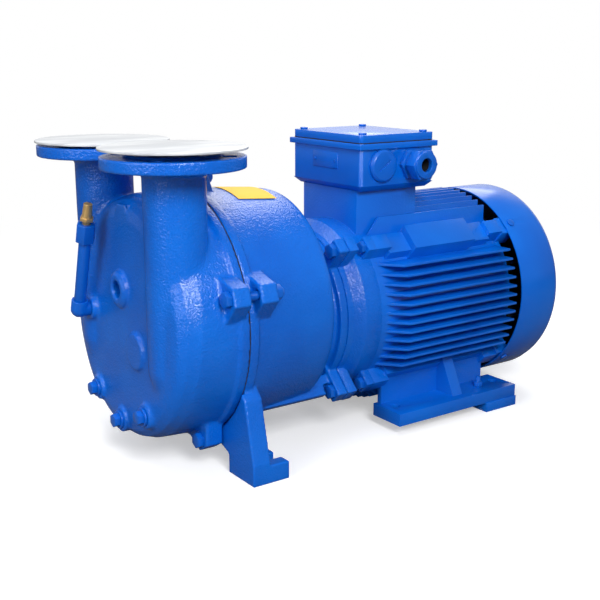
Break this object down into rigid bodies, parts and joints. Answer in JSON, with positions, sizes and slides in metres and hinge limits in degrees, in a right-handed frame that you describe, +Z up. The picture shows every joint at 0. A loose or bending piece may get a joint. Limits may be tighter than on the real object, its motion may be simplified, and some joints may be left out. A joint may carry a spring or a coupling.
{
  "type": "liquid ring vacuum pump",
  "caption": "Close-coupled liquid ring vacuum pump: round pump casing with upright flanged ports, finned foot motor with terminal box, fan cover and a small vent line.",
  "frame": {"origin": "on the base plane, below the shaft, midway along the length", "axes": "+X along the shaft from the pump towards the motor fan, +Y towards the outlet side, +Z up"},
  "size_m": [0.7774, 0.401, 0.4481],
  "materials": {
    "cast_blue": "gloss",
    "sheet_blue": "gloss",
    "fastener_blue": "gloss",
    "disc_white": "satin",
    "silencer_brass": "satin",
    "steel": "satin",
    "bronze": "satin",
    "cast_iron": "matte",
    "core_steel": "matte",
    "cast_aluminium": "matte",
    "winding_copper": "satin",
    "black_rubber": "matte",
    "gasket_grey": "matte",
    "fan_plastic": "matte",
    "board_plastic": "matte"
  },
  "bodies": {
    "housing": {"pump_casing": "cast_blue", "port_cover": "cast_blue", "port_plate": "cast_iron", "port_plate_screws": "steel", "valve_stop": "steel", "cover_gasket": "gasket_grey", "cover_bolts": "fastener_blue", "cover_nuts": "fastener_blue", "drain_plugs": "fastener_blue", "drain_plug_washers": "fastener_blue", "vent_elbow": "fastener_blue", "vent_pipe": "fastener_blue", "vent_coupling": "fastener_blue", "vent_silencer": "silencer_brass", "seal_seat": "core_steel", "bearing_outer_rings": "steel", "bearing_ball_cages": "steel", "drive_end_shield": "cast_blue", "flange_bolts": "fastener_blue", "drive_shield_screws": "fastener_blue", "motor_frame": "cast_blue", "foot_spacers": "cast_blue", "stator_core": "core_steel", "stator_winding": "winding_copper", "fan_end_shield": "cast_blue", "fan_shield_screws": "fastener_blue", "bearing_wave_spring": "steel", "fan_cover": "sheet_blue", "fan_cover_screws": "fastener_blue", "terminal_box": "sheet_blue", "lid_gasket": "gasket_grey", "terminal_box_lid": "sheet_blue", "lid_screws": "fastener_blue", "terminal_board": "board_plastic", "terminal_studs": "steel", "cable_gland_body": "fastener_blue", "gland_cap": "fastener_blue", "gland_seal": "black_rubber", "blanking_plug": "fastener_blue", "box_plate": "sheet_blue", "box_plate_rivets": "fastener_blue", "earth_screw": "fastener_blue"},
    "rotor": {"impeller": "bronze", "impeller_washer": "steel", "impeller_bolt": "steel", "impeller_key": "steel", "shaft": "steel", "seal_bellows": "black_rubber", "seal_rotating_ring": "core_steel", "shaft_slinger": "black_rubber", "bearing_inner_rings": "steel", "rotor_core": "core_steel", "rotor_end_rings": "cast_aluminium", "cooling_fan": "fan_plastic", "fan_circlip": "steel"},
    "near_disc": {"near_port_disc": "disc_white"},
    "far_disc": {"far_port_disc": "disc_white"},
    "flap": {"valve_flap": "board_plastic"}
  },
  "joints": [
    {"name": "rotor_spin", "type": "hinge", "parent": "housing", "child": "rotor", "pos_m": [0, 0, 0.18], "axis": [1, 0, 0], "continuous": true},
    {"name": "near_disc_lift", "type": "slide", "parent": "housing", "child": "near_disc", "axis": [0, 0, 1], "range_m": [0, 0.12]},
    {"name": "far_disc_lift", "type": "slide", "parent": "housing", "child": "far_disc", "axis": [0, 0, 1], "range_m": [0, 0.12]},
    {"name": "flap_open", "type": "slide", "parent": "housing", "child": "flap", "axis": [-1, 0, 0], "range_m": [0, 0.0025]}
  ]
}
